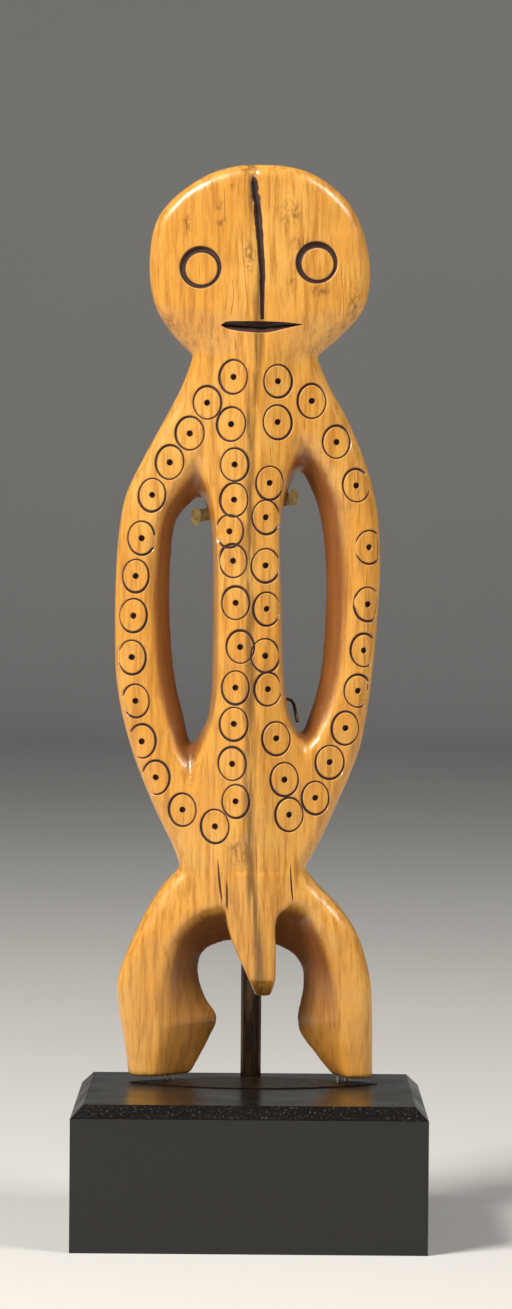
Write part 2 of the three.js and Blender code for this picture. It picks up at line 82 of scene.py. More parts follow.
BODY_RIGHT = millimetres([
    [10.8, 127.5], [12.9, 122.6], [16.1, 117], [19.7, 108.6], [21.7, 101], [22.4, 92],
    [22, 81], [20.8, 68.5], [18.9, 58], [14.4, 47], [11.4, 40.6], [9.3, 37],
])
LEG_LEFT = millimetres([
    [-12.6, 37], [-15.5, 34], [-18.3, 29.7], [-22.3, 21.2],
    [-23.7, 16.5], [-23.4, 12], [-22.4, 6.2], [-21.5, 0],
])
LEG_RIGHT = millimetres([
    [9.3, 37], [11.6, 34.2], [15.7, 30], [18.6, 25.7], [20.2, 21.5], [21.3, 16.5], [21.6, 11], [21.7, 0],
])
MIDDLE = millimetres([
    [-0.6, 160.5], [0.3, 150.3], [1.1, 140.3], [1.1, 130.3], [0.4, 122.8], [-0.2, 115.3], [-0.2, 100.3],
    [0.2, 66.3], [0.2, 44.3], [0.6, 34.3], [1.6, 27.3], [2.2, 16.3], [2.2, 0.3],
])

# The front falls back on both sides of the ridge, in a near and a far slope, and the edges are round
EDGE_ROUND_FRONT = 2.4 * MM
EDGE_ROUND_BACK = 1.6 * MM
SOLE_ROUND = 0.5 * MM
RIDGE_REACH = 8 * MM
BODY_SLOPES = (0.3, 0.22)
HEAD_SLOPES = (0.06, 0.14)
LEG_SLOPES = (0.2, 0.15)
CHIN_BLEND = 9 * MM
LEG_BLEND = 13 * MM
GROOVE_HALF_WIDTH = 1.1 * MM
GROOVE_DEPTH = 0.5 * MM

# The openings, each from its outline on the front face to a narrower throat deep inside.
# The last number shapes the walls between them: 1 is straight, and the smaller, the more they swell.
THROAT_Y = 11.8 * MM
BACK_FLARE = 0.8 * MM
RIM_SOFTNESS = 0.8 * MM
LEFT_GAP = (
    millimetres([
        [-9.8, 110.7], [-13.1, 106.3], [-16.9, 100.9], [-18.8, 91.3], [-18.8, 78.8], [-17.4, 67.1],
        [-14.5, 58], [-10.6, 50.5], [-8.6, 57.5], [-6.6, 64.5], [-6, 82.3], [-6.9, 100],
    ]),
    millimetres([
        [-9.6, 102.5], [-12.1, 100.7], [-13.9, 97.9], [-14.8, 90.3], [-14.7, 79.3], [-13.8, 70.3],
        [-12.3, 63.9], [-10.8, 58.9], [-9.2, 61.1], [-7.9, 64.3], [-7.3, 82.3], [-7.9, 98.3],
    ]),
    0.85,
)
RIGHT_GAP = (
    millimetres([
        [7.6, 114.7], [12.3, 110.9], [16.3, 104.7], [18.9, 93.3], [18.7, 80.3], [17.4, 70.6],
        [14.4, 63.1], [9.4, 56.7], [7.4, 60.1], [5.5, 64.7], [4.5, 84.3], [4.7, 102.9],
    ]),
    millimetres([
        [7.9, 107.1], [10, 104.1], [11.6, 99.3], [12.7, 90.3], [12.6, 79.8], [11.8, 70.8],
        [10.2, 64.7], [8.6, 61.1], [7.2, 62.7], [5.9, 67.3], [5, 84.3], [5, 100.3],
    ]),
    0.6,
)
LEG_ARCH = (
    millimetres([
        [-16.8, -4], [-16.6, 1.5], [-16.3, 6.5], [-16.1, 10.1], [-15.9, 14.3], [-15.2, 19.5], [-13.6, 24.9],
        [-9.6, 29.2], [-3.5, 30.8], [2.5, 31.5], [7, 31.3], [10.6, 30.3], [13.2, 26.1], [15, 20.8],
        [16.2, 15.8], [16.7, 11.3], [16.8, 6.3], [16.8, 1.8], [17, -4],
    ]),
    millimetres([
        [-12.6, -4], [-9.8, 1.5], [-7.2, 6.5], [-5.9, 10.1], [-8.1, 13.9], [-9.3, 18.1], [-8.6, 21.6],
        [-6, 23.2], [-2, 23.9], [2, 23.7], [5, 22.8], [7.6, 21.3], [9.1, 18.9], [9.3, 15.9],
        [8.8, 13.1], [8.3, 10.3], [8.9, 7.3], [11.6, 3.7], [16.4, -4],
    ]),
    1,
)

# The tab between the legs
TAB_LEFT = millimetres([[-4.3, 36.3], [-4.2, 26.9], [-0.2, 17.3], [0.9, 14.6]])
TAB_RIGHT = millimetres([[7.5, 36.3], [7.3, 31.3], [4.6, 28.5], [4.4, 22.3], [4.3, 17.3], [3.5, 14.6]])
TAB_THICKNESS = 4.4 * MM
TAB_PROUD = 0.2 * MM
TAB_SLOPE = 0.3
TAB_ROUND = 0.7 * MM
TAB_END_Z = 17.5 * MM
TAB_TIP_Z = 14.6 * MM
TAB_TOP_Z = 36.3 * MM
TAB_CUT_SLOPE = 0.76

# The carved marks
RING_ACROSS = 4.95 * MM
RING_TALL = 5.9 * MM
RING_LINE = 0.3 * MM
RING_DEPTH = 0.3 * MM
PIT_RADIUS = 0.62 * MM
PIT_DEPTH = 0.75 * MM
LEFT_COLUMN = millimetres([
    [-3.9, 123.6], [-4.2, 115.3], [-3.55, 108.2], [-3.6, 102], [-4.4, 96.5], [-3.7, 91.3], [-3.2, 83.9],
    [-2.3, 76.2], [-3.1, 69], [-3.35, 62.6], [-3.6, 55.6], [-2.9, 49], [-6.55, 44.5],
])
LEFT_ARM_RINGS = millimetres([
    [-8.45, 119.1], [-11.5, 113.7], [-15, 108.6], [-18.1, 102.8], [-19.9, 95.2], [-20.9, 88.5],
    [-21.3, 81.5], [-21.5, 74.1], [-20.8, 66.4], [-19.6, 59.3], [-17.1, 52.9], [-12.3, 47.3],
])
RIGHT_COLUMN = millimetres([
    [4, 122.9], [4, 115.7], [2.7, 105], [2.1, 99], [2.1, 90.5], [2.35, 82.9], [2.15, 74.7],
    [2.65, 68.8], [4.2, 60.1], [5.7, 52.9], [6.6, 46.7],
])
RIGHT_ARM_RINGS = millimetres([
    [10, 119.5], [14.4, 112.4], [18, 104.8], [20.4, 93.9], [20.2, 83.8], [19.6, 75.7], [18.6, 68.5],
    [16.4, 61.9], [13.7, 55.9], [11.2, 49.6],
])


# Curves and distances

def curve_through(points, closed=False, steps=8):
    """Points along a centripetal Catmull-Rom curve through the given (n, 2) points."""
    if closed:
        before, start, end, after = (np.roll(points, shift, axis=0) for shift in (1, 0, -1, -2))
    else:
        padded = np.vstack([2 * points[0] - points[1], points, 2 * points[-1] - points[-2]])
        before, start, end, after = padded[:-3], padded[1:-2], padded[2:-1], padded[3:]

    def knot(a, b):
        return np.sqrt(np.linalg.norm(b - a, axis=1))[:, None]

    first, span, last = knot(before, start), knot(start, end), knot(end, after)
    leave = ((start - before) / first - (end - before) / (first + span) + (end - start) / span) * span
    arrive = ((end - start) / span - (after - start) / (span + last) + (after - end) / last) * span
    t = (np.arange(steps) / steps)[:, None, None]
    curve = (
        (2 * t**3 - 3 * t**2 + 1) * start
        + (t**3 - 2 * t**2 + t) * leave
        + (3 * t**2 - 2 * t**3) * end
        + (t**3 - t**2) * arrive
    )
    curve = curve.transpose(1, 0, 2).reshape(-1, 2)
    return curve if closed else np.vstack([curve, points[-1]])


def line_through(points):
    """A function that gives the x of a line of [x, height] points at any height."""
    curve = curve_through(points)[::-1]
    return lambda z: np.interp(z, curve[:, 1], curve[:, 0])


def edge_through(head, body, leg):
    """One side of the outline: its x at any height, with sharp notches at the neck and the waist."""
    head_at, body_at, leg_at = line_through(head), line_through(body), line_through(leg)
    return lambda z: np.where(z < WAIST_Z, leg_at(z), np.where(z < NECK_Z, body_at(z), head_at(z)))


middle_at = line_through(MIDDLE)
left_edge = edge_through(HEAD_LEFT, BODY_LEFT, LEG_LEFT)
right_edge = edge_through(HEAD_RIGHT, BODY_RIGHT, LEG_RIGHT)


def smoothstep(low, high, value):
    t = np.clip((value - low) / (high - low), 0, 1)
    return t * t * (3 - 2 * t)


def blend(a, b, share):
    return a + (b - a) * share


def outline_loop():
    """The figure's outline as one closed loop, carried on below the soles."""
    below = -10 * MM
    crown_start = 140 * MM
    lower = np.linspace(0, crown_start, 180)
    angles = np.radians(np.linspace(0, 90, 40))
    crown = crown_start + (CROWN_Z - crown_start) * np.sin(angles[1:])
    heights = np.concatenate([lower, crown])
    left = np.stack([left_edge(heights), heights], axis=1)
    right = np.stack([right_edge(heights), heights], axis=1)
    feet = np.array([[right[0, 0], below], [left[0, 0], below]])
    return np.vstack([left, right[::-1], feet])


def signed_distance(loop, x, z):
    """How far points lie from a closed loop, negative inside it."""
    nearest = np.full(x.shape, np.inf)
    inside = np.zeros(x.shape, bool)
    for (ax, az), (bx, bz) in zip(loop, np.roll(loop, -1, axis=0)):
        dx, dz = bx - ax, bz - az
        length = dx * dx + dz * dz
        if length == 0:
            continue
        t = np.clip(((x - ax) * dx + (z - az) * dz) / length, 0, 1)
        nearest = np.minimum(nearest, (x - ax - t * dx) ** 2 + (z - az - t * dz) ** 2)
        if dz != 0:
            inside ^= ((az > z) != (bz > z)) & (x < ax + (z - az) * dx / dz)
    return np.where(inside, -1, 1) * np.sqrt(nearest)


def round_meet(a, b, radius):
    """Where two fields overlap, with the edge between them rounded."""
    corner = np.hypot(np.maximum(a + radius, 0), np.maximum(b + radius, 0))
    return np.minimum(np.maximum(a, b), -radius) + corner


def soft_max(a, b, softness):
    overlap = np.maximum(softness - np.abs(a - b), 0) / softness
    return np.maximum(a, b) + overlap * overlap * softness / 4


def soft_min(a, b, softness):
    return -soft_max(-a, -b, softness)


# The figure's form

def hand_ripple(x, z):
    """The shallow unevenness that a knife and years of handling leave."""
    waves = (
        (0.05, 610, 190, 0.4), (0.04, -420, 330, 2.1),
        (0.03, 980, -520, 4.0), (0.025, 150, 1240, 1.3),
    )
    return sum(size * MM * np.sin(per_x * x + per_z * z + shift) for size, per_x, per_z, shift in waves)


def roof_y(x, z):
    """The front face, which falls back on both sides of the grooved ridge."""
    head_share = smoothstep(NECK_Z - 2 * MM, NECK_Z + CHIN_BLEND, z)
    leg_share = 1 - smoothstep(WAIST_Z - LEG_BLEND, WAIST_Z, z)
    near, far = (
        blend(blend(body, head, head_share), leg, leg_share)
        for body, head, leg in zip(BODY_SLOPES, HEAD_SLOPES, LEG_SLOPES)
    )
    beside = np.abs(x - middle_at(z))
    fall = near * np.minimum(beside, RIDGE_REACH) + far * np.maximum(0, beside - RIDGE_REACH)
    groove = GROOVE_DEPTH * np.maximum(0, 1 - beside / GROOVE_HALF_WIDTH)
    return RIDGE_Y + fall + groove + hand_ripple(x, z)


def tab_field(x, y, z, roof):
    """The tab's sides, its top that carries the ridge on, and its end facet, cut back below."""
    sides = np.maximum(line_through(TAB_LEFT)(z) - x, x - line_through(TAB_RIGHT)(z))
    cut_back = TAB_CUT_SLOPE * np.maximum(0, TAB_END_Z - z)
    beside = np.abs(x - middle_at(z))
    groove = GROOVE_DEPTH * np.maximum(0, 1 - beside / GROOVE_HALF_WIDTH)
    top = RIDGE_Y - TAB_PROUD + TAB_SLOPE * beside + groove + cut_back - y
    across = round_meet(sides, top, TAB_ROUND)
    across = round_meet(across, y - RIDGE_Y - TAB_THICKNESS, TAB_ROUND)
    return np.maximum(across, np.maximum(TAB_TIP_Z - z, z - TAB_TOP_Z))


GRID_STEP = np.array([0.34, 0.34, 0.38]) * MM
GRID_MARGIN = 3


def figure_field():
    """Signed distances on a grid around the figure, with the grid's lowest corner."""
    low = np.array([figure_low.x, RIDGE_Y - 2 * MM, 0]) - GRID_MARGIN * GRID_STEP
    high = np.array([figure_high.x, BACK_Y, figure_high.z - SOLE_Z]) + GRID_MARGIN * GRID_STEP
    counts = np.ceil((high - low) / GRID_STEP).astype(int) + 1
    xs, ys, zs = (low[i] + GRID_STEP[i] * np.arange(counts[i]) for i in range(3))
    x, z = np.meshgrid(xs, zs, indexing="ij")
    rim = signed_distance(outline_loop(), x, z)
    roof = roof_y(x, z)
    gaps = [
        (*(signed_distance(curve_through(loop, closed=True), x, z) for loop in (front, throat)), swell)
        for front, throat, swell in (LEFT_GAP, RIGHT_GAP, LEG_ARCH)
    ]
    field = np.empty(counts)
    for j, y in enumerate(ys):
        bone = round_meet(rim, roof - y, EDGE_ROUND_FRONT)
        bone = round_meet(bone, y - BACK_Y, EDGE_ROUND_BACK)
        share = np.clip((y - roof) / (THROAT_Y - roof), 0, 1)
        flare = BACK_FLARE * max(0, y - THROAT_Y) / (BACK_Y - THROAT_Y)
        for front, throat, swell in gaps:
            bone = soft_max(bone, flare - blend(front, throat, share**swell), RIM_SOFTNESS)
        bone = round_meet(bone, -z, SOLE_ROUND)
        bone = soft_min(bone, tab_field(x, y, z, roof), 0.3 * MM)
        field[:, j, :] = bone
    return field, low


def surface_net(field, low):
    """A closed quad mesh through the zero of a field: one point in each cell that the surface crosses."""
    inside = field < 0
    corner_sum = np.zeros(np.array(field.shape) - 1, np.int8)
    corners = [(i, j, k) for i in (0, 1) for j in (0, 1) for k in (0, 1)]
    shape = corner_sum.shape
    for i, j, k in corners:
        corner_sum += inside[i:i + shape[0], j:j + shape[1], k:k + shape[2]]
    cells = np.argwhere((corner_sum > 0) & (corner_sum < 8))
    total = np.zeros((len(cells), 3))
    crossings = np.zeros(len(cells))
    for axis in range(3):
        step = np.eye(3, dtype=int)[axis]
        for corner in corners:
            if corner[axis]:
                continue
            start = cells + corner
            end = start + step
            a, b = field[tuple(start.T)], field[tuple(end.T)]
            crossed = (a < 0) != (b < 0)
            share = np.where(crossed, a / np.where(crossed, a - b, 1), 0)
            total += np.where(crossed[:, None], start + share[:, None] * step, 0)
            crossings += crossed
    points = total / crossings[:, None]
    number = np.full(shape, -1)
    number[tuple(cells.T)] = np.arange(len(cells))
    quads = []
    for axis in range(3):
        u, v = (axis + 1) % 3, (axis + 2) % 3
        ahead = [slice(None)] * 3
        ahead[axis] = slice(1, None)
        behind = [slice(None)] * 3
        behind[axis] = slice(None, -1)
        edges = np.argwhere(inside[tuple(ahead)] != inside[tuple(behind)])
        outward = inside[tuple(edges.T)]
        back_u, back_v = np.eye(3, dtype=int)[u], np.eye(3, dtype=int)[v]
        around = [edges, edges - back_u, edges - back_u - back_v, edges - back_v]
        ring = np.stack([number[tuple(cell.T)] for cell in around], axis=1)
        quads.append(np.where(outward[:, None], ring, ring[:, ::-1]))
    return low + points * GRID_STEP, np.concatenate(quads)


def relaxed(points, quads, rounds, share):
    """The points moved part of the way to the middle of their neighbours."""
    edges = np.concatenate([quads[:, [i, (i + 1) % 4]] for i in range(4)])
    counts = np.bincount(edges.ravel(), minlength=len(points))[:, None]
    for _ in range(rounds):
        near = np.stack([
            np.bincount(edges[:, 0], points[edges[:, 1], axis], len(points))
            + np.bincount(edges[:, 1], points[edges[:, 0], axis], len(points))
            for axis in range(3)
        ], axis=1)
        points = blend(points, near / counts, share)
    return points


def mesh_from(name, points, faces):
    mesh = bpy.data.meshes.new(name)
    mesh.from_pydata(points.tolist() if hasattr(points, "tolist") else points, [], [list(f) for f in faces])
    mesh.update()
    return mesh


def new_object(name, mesh):
    piece = bpy.data.objects.new(name, mesh)
    bpy.context.scene.collection.objects.link(piece)
    return piece


def apply_modifiers(piece):
    """The piece keeps what its modifiers give, as plain mesh."""
    evaluated = piece.evaluated_get(bpy.context.evaluated_depsgraph_get())
    mesh = bpy.data.meshes.new_from_object(evaluated)
    piece.modifiers.clear()
    old = piece.data
    piece.data = mesh
    bpy.data.meshes.remove(old)


def figure_body():
    field, low = figure_field()
    points, quads = surface_net(field, low)
    points = relaxed(points, quads, rounds=3, share=0.5)
    points[:, 2] += SOLE_Z
    piece = new_object("bone_figurine", mesh_from("bone_figurine", points, quads))
    decimate = piece.modifiers.new("fewer", "DECIMATE")
    decimate.ratio = 0.45
    apply_modifiers(piece)
    return piece


# The fine marks, cut into the finished surface

SURFACE_CLEAR = 0.2 * MM
COMPASS_REACH = 0.6 * MM
RING_STEPS = 40
SLIVER = 0.0005 * MM


def on_surface(tree, x, z, depth_hint):
    """The point and normal of the front surface at x and height z, or the nearest beside the edge."""
    start = Vector((x, RIDGE_Y - 20 * MM, z + SOLE_Z))
    point, normal, _, _ = tree.ray_cast(start, Vector((0, 1, 0)))
    if point is None or point.y > BACK_Y:
        point, normal, _, _ = tree.find_nearest(Vector((x, depth_hint, z + SOLE_Z)))
    return np.array(point), np.array(normal)


def draped(tree, path, centre=None):
    """A path of [x, height] points laid on the surface. With a centre, it stays near the plane that touches
    the surface there, as the leg of a compass does."""
    points, normals = [], []
    hint = RIDGE_Y + 4 * MM
    if centre is not None:
        middle, facing = on_surface(tree, *centre, hint)
        hint = middle[1] + 1 * MM
    for x, z in path:
        point, normal = on_surface(tree, x, z, hint)
        if centre is not None:
            offset = np.array([x - middle[0], 0, z + SOLE_Z - middle[2]])
            plane_y = middle[1] - offset @ facing / facing[1]
            if point[1] > plane_y + COMPASS_REACH:
                point = np.array([x, plane_y + COMPASS_REACH, z + SOLE_Z])
                normal = facing
        points.append(point)
        normals.append(normal)
    return np.array(points), np.array(normals)


def groove_cutter(points, normals, widths, depths, closed=False, lean=0.0):
    """A tube along the path whose section is a V with a narrow floor, as wide as said at the surface."""
    count = len(points)
    if closed:
        along = np.roll(points, -1, axis=0) - np.roll(points, 1, axis=0)
    else:
        along = np.gradient(points, axis=0)
    aside = np.cross(along, normals)
    aside /= np.linalg.norm(aside, axis=1)[:, None]
    widths = np.broadcast_to(widths, count)[:, None]
    depths = np.broadcast_to(depths, count)[:, None]
    floor = 0.3 * widths
    mouth = widths + (widths - floor) * SURFACE_CLEAR / depths
    leant = lean * widths
    corners = [
        points - aside * mouth + normals * SURFACE_CLEAR,
        points + aside * mouth + normals * SURFACE_CLEAR,
        points + aside * (leant + floor) - normals * depths,
        points + aside * (leant - floor) - normals * depths,
    ]
    sides = len(corners)
    verts = np.stack(corners, axis=1).reshape(-1, 3)
    faces = []
    spans = count if closed else count - 1
    for i in range(spans):
        here, there = i * sides, ((i + 1) % count) * sides
        for s in range(sides):
            t = (s + 1) % sides
            faces.append([here + s, here + t, there + t, there + s])
    if not closed:
        end = (count - 1) * sides
        faces.append([s for s in reversed(range(sides))])
        faces.append([end + s for s in range(sides)])
    return verts, faces


def pit_cutter(point, normal, radius, depth, tilt):
    """A round pit that narrows to its floor, drilled a little askew."""
    levels = ((1.15, SURFACE_CLEAR), (1.0, 0), (0.78, -0.5 * depth), (0.3, -depth))
    sides = 14
    aside = np.cross(normal, [0, 0, 1.0])
    aside /= np.linalg.norm(aside)
    upward = np.cross(aside, normal)
    angles = np.linspace(0, 2 * math.pi, sides, endpoint=False)
    verts, faces = [], []
    for share, height in levels:
        centre = point + normal * height + (aside * tilt[0] + upward * tilt[1]) * -min(height, 0)
        verts += [
            centre + radius * share * (aside * math.cos(a) + upward * math.sin(a)) for a in angles
        ]
    for level in range(len(levels) - 1):
        for i in range(sides):
            j = (i + 1) % sides
            here, above = level * sides, (level + 1) * sides
            faces.append([here + i, here + j, above + j, above + i])
    last = (len(levels) - 1) * sides
    faces.append([i for i in reversed(range(sides))])
    faces.append([last + i for i in range(sides)])
    return np.array(verts), faces


def facing_out(verts, faces):
    """The cutter as a bmesh-cleaned mesh with its faces outward."""
    mesh = mesh_from("cutter", verts, faces)
    shape = bmesh.new()
    shape.from_mesh(mesh)
    bmesh.ops.recalc_face_normals(shape, faces=shape.faces)
    bmesh.ops.triangulate(shape, faces=shape.faces)
    shape.to_mesh(mesh)
    shape.free()
    return mesh


class Carver:
    """Gathers cutters in batches whose members do not touch, and cuts each batch in one go."""

    def __init__(self, piece):
        self.piece = piece
        self.tree = BVHTree.FromObject(piece, bpy.context.evaluated_depsgraph_get())
        self.batches = []

    def add(self, verts, faces):
        low, high = verts.min(axis=0), verts.max(axis=0)
        for batch in self.batches:
            if all((low > far).any() or (high < near).any() for _, near, far in batch):
                batch.append((facing_out(verts, faces), low, high))
                return
        self.batches.append([(facing_out(verts, faces), low, high)])

    def line(self, path, widths, depths, closed=False, centre=None, lean=0.0):
        points, normals = draped(self.tree, path, centre)
        self.add(*groove_cutter(points, normals, widths, depths, closed, lean))

    def cut(self):
        for batch in self.batches:
            joined = bmesh.new()
            for mesh, _, _ in batch:
                joined.from_mesh(mesh)
                bpy.data.meshes.remove(mesh)
            cutters = bpy.data.meshes.new("cutters")
            joined.to_mesh(cutters)
            joined.free()
            tool = new_object("cutters", cutters)
            carve = self.piece.modifiers.new("carve", "BOOLEAN")
            carve.operation = "DIFFERENCE"
            carve.solver = "MANIFOLD"
            carve.object = tool
            apply_modifiers(self.piece)
            bpy.data.objects.remove(tool)
            bpy.data.meshes.remove(cutters)


EYES = millimetres([[-9.7, 142.6], [10.7, 143.6]])
EYE_RADIUS = 3.25 * MM
EYE_LINE = 0.62 * MM
EYE_DEPTH = 0.5 * MM
MOUTH_UPPER = millimetres([[-6.1, 132.7], [-5.2, 133.2], [-2, 133.3], [2, 133.3], [5, 133.2], [8.1, 132.9]])
MOUTH_LOWER = millimetres([[-6.1, 132.5], [-5.2, 131.9], [-2, 131.3], [2, 131.2], [5, 131.9], [8.1, 132.7]])
MOUTH_DEPTH = 1.5 * MM
CROWN_GROOVE = millimetres([[-0.7, 159.1], [0.2, 152.3], [1, 142.3], [1.15, 133.7]])
CROWN_WIDTHS = (0.85, 0.42)
CROWN_DEPTHS = (0.55, 0.45)
CREASES = [
    millimetres([[-6, 38.7], [-5.6, 34.3], [-5.1, 30.9]]),
    millimetres([[-4.35, 34.9], [-4.3, 32.1], [-4.3, 29.3]]),
    millimetres([[6.9, 37.9], [7.1, 34.3], [7.4, 31.3]]),
]
CRACKS = [
    millimetres([[15, 144], [15, 141.7], [15.3, 138.6], [15.5, 133.1]]),
    millimetres([[-5.7, 156.3], [-5.6, 153.3], [-5.6, 150.8]]),
    millimetres([[-2.6, 149.4], [-2.3, 145.2], [-1.4, 135.4]]),
    millimetres([[-4.2, 140.8], [-3.9, 137.8], [-4.4, 134.3]]),
    millimetres([[17.9, 110], [18.2, 106.5], [18.3, 104.3], [18.6, 101.2], [18.3, 97.1]]),
    millimetres([[20, 90.2], [19.9, 86.9], [19.6, 78.6], [19.7, 72.6], [19.6, 66]]),
    millimetres([[2.7, 111.4], [2.8, 110.1], [3, 108.6]]),
    millimetres([[-3.6, 130.1], [-3.5, 129.2], [-3.6, 128.2]]),
    millimetres([[0.6, 43.7], [0.9, 38.3], [1, 33]]),
    millimetres([[1.3, 34.5], [2.2, 30.7], [2.4, 27.3]]),
]


def carve_rings(carver, random):
    for rings in (LEFT_COLUMN, LEFT_ARM_RINGS, RIGHT_COLUMN, RIGHT_ARM_RINGS):
        for centre in rings:
            grow = 1 + random.uniform(-0.02, 0.02)
            angles = np.linspace(0, 2 * math.pi, RING_STEPS, endpoint=False)
            wobble = grow * (1 + 0.012 * np.sin(2 * angles + random.uniform(0, 6)))
            path = centre + np.stack([
                RING_ACROSS / 2 * wobble * np.cos(angles),
                RING_TALL / 2 * wobble * np.sin(angles),
            ], axis=1)
            swing = 1 + 0.2 * np.sin(angles + random.uniform(0, 6))
            carver.line(path, RING_LINE * swing, RING_DEPTH * swing, closed=True, centre=centre)
            point, normal = on_surface(carver.tree, *centre, RIDGE_Y + 4 * MM)
            tilt = random.uniform(-0.25, 0.25, 2)
            carver.add(*pit_cutter(point, normal, PIT_RADIUS * grow, PIT_DEPTH, tilt))


def carve_face(carver):
    for centre in EYES:
        angles = np.linspace(0, 2 * math.pi, 56, endpoint=False)
        path = centre + EYE_RADIUS * np.stack([np.cos(angles), np.sin(angles)], axis=1)
        swing = 1 + 0.25 * np.cos(angles - math.radians(125))
        carver.line(path, EYE_LINE * swing, EYE_DEPTH * swing, closed=True)
    upper, lower = curve_through(MOUTH_UPPER), curve_through(MOUTH_LOWER)
    path = (upper + lower) / 2
    widths = np.maximum(np.linalg.norm(upper - lower, axis=1) / 2, 0.08 * MM)
    depths = MOUTH_DEPTH * np.sqrt(widths / widths.max())
    carver.line(path, widths, depths, lean=-0.45)
    path = curve_through(CROWN_GROOVE)
    share = np.linspace(0, 1, len(path))
    taper = np.minimum(1, 0.2 + share * 8)
    widths = blend(*CROWN_WIDTHS, share) * MM * taper
    carver.line(path, widths, blend(*CROWN_DEPTHS, share) * MM * taper)


def carve_cracks(carver):
    for path, width, depth in [(p, 0.25, 0.3) for p in CREASES] + [(p, 0.09, 0.14) for p in CRACKS]:
        path = curve_through(path, steps=6)
        ends = np.sin(np.linspace(0.08, math.pi - 0.08, len(path))) ** 0.4
        carver.line(path, width * MM * ends, depth * MM * ends)


# What the surface carries for the shader: how deep it was cut, the painted shade in the openings, the ridge
# that gets a stain and painted shade, and the stains

STAINS = millimetres([
    [-6.6, 153.5, 0.8, 1.0], [-4.4, 156.8, 0.5, 1.0], [-6.1, 150.8, 1.0, 1.3], [-1.3, 144.8, 1.2, 3.5],
    [6.5, 140.2, 1.1, 0.8], [11.2, 138.7, 2.5, 1.2], [7.7, 146.9, 2.2, 1.5], [-12.1, 150.3, 1.4, 2.0],
    [-16, 132.7, 2.2, 2.2], [17.4, 137.3, 1.4, 4.0], [-2.1, 40.3, 2.5, 3.0], [6, 152.3, 2.5, 2.5],
])


# A distance from the ridge, in millimetres, at which none of its stain and painted shade is left
OFF_THE_RIDGE = 20


def paint(piece, tree):
    """Stores what the shader needs to know of each point of the figure."""
    mesh = piece.data
    count = len(mesh.vertices)
    points = np.empty(count * 3)
    mesh.vertices.foreach_get("co", points)
    points = points.reshape(-1, 3)
    x, y, z = points[:, 0], points[:, 1], points[:, 2] - SOLE_Z
    depth = np.array([tree.find_nearest(Vector(p))[3] for p in points.tolist()])
    store(mesh, "cut", depth / MM)
    roof = roof_y(x, z)
    # Painted shade: how far each point lies inside an opening and behind the front, weaker low in the leg
    # arch and stronger higher up.
    inside = np.zeros(count)
    for gap, strength in ((LEFT_GAP, 1.0), (RIGHT_GAP, 1.0), (LEG_ARCH, None)):
        reach = smoothstep(-0.1 * MM, 1.8 * MM, -signed_distance(curve_through(gap[0], closed=True), x, z))
        if strength is None:
            strength = blend(0.35, 1.0, smoothstep(6 * MM, 22 * MM, z))
        inside = np.maximum(inside, reach * strength)
    deep = smoothstep(0.3 * MM, 2 * MM, y - roof)
    store(mesh, "recess_shade", inside * deep)
    on_front = y - roof < 2 * MM
    store(mesh, "beside", np.where(on_front, (x - middle_at(z)) / MM, OFF_THE_RIDGE))
    stain = np.zeros(count)
    for at_x, at_z, wide, tall in STAINS:
        reach = np.hypot((x - at_x) / wide, (z - at_z) / tall)
        stain = np.maximum(stain, 1 - smoothstep(0.3, 1.2, reach))
    store(mesh, "stain", stain)


def without_slivers(piece):
    """Melts the faces with no area that the cuts leave, and keeps the mesh closed."""
    shape = bmesh.new()
    shape.from_mesh(piece.data)
    bmesh.ops.dissolve_degenerate(shape, dist=SLIVER, edges=shape.edges)
    bmesh.ops.triangulate(shape, faces=[face for face in shape.faces if len(face.verts) > 4])
    shape.to_mesh(piece.data)
    shape.free()


def store(mesh, name, values):
    attribute = mesh.attributes.new(name, "FLOAT", "POINT")
    attribute.data.foreach_set("value", np.asarray(values, np.float32))


def shade_smooth(piece, sharp_degrees):
    mesh = piece.data
    mesh.polygons.foreach_set("use_smooth", [True] * len(mesh.polygons))
    mesh.set_sharp_from_angle(angle=math.radians(sharp_degrees))


# Materials

